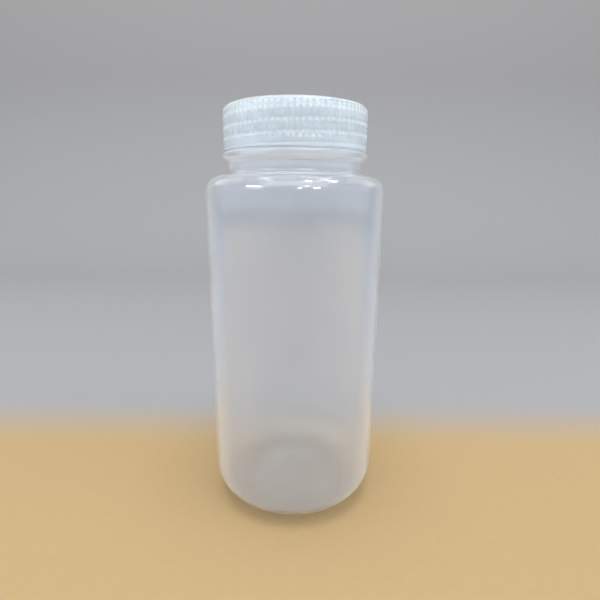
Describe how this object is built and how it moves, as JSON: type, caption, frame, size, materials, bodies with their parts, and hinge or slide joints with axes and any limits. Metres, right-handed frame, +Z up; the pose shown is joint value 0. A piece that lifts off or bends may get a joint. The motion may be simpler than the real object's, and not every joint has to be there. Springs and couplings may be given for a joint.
{
  "type": "reagent bottle",
  "caption": "Wide-mouth translucent plastic reagent bottle with a round shoulder, a neck bead and a ribbed screw cap over a sealing disc; stores powders and liquids.",
  "frame": {"origin": "centre of the standing ring under the base, on the surface that the bottle stands on", "axes": "+Z up along the axis of bottle, neck and cap; +X and +Y are free, because the bottle is round"},
  "size_m": [0.075, 0.075, 0.1711],
  "materials": {
    "natural_pp": "translucent natural polypropylene, blow-moulded, satin",
    "cap_pp": "translucent faintly blue polypropylene, injection-moulded, semi-gloss",
    "seal_pe": "milky polyethylene, smooth"
  },
  "bodies": {
    "bottle": {"bottle": "natural_pp"},
    "seal_disc": {"seal_disc": "seal_pe"},
    "cap": {"cap": "cap_pp"}
  },
  "joints": [
    {"name": "cap_lift", "type": "slide", "parent": "bottle", "child": "seal_disc", "axis": [0, 0, 1], "range_m": [0, 0.0147]},
    {"name": "cap_turn", "type": "hinge", "parent": "seal_disc", "child": "cap", "pos_m": [0, 0, 0.1545], "axis": [0, 0, 1], "range_deg": [0, 1260]}
  ],
  "couplings": [
    {"joint": "cap_lift", "follows": "cap_turn", "m_per_rad": 0.00066845}
  ]
}
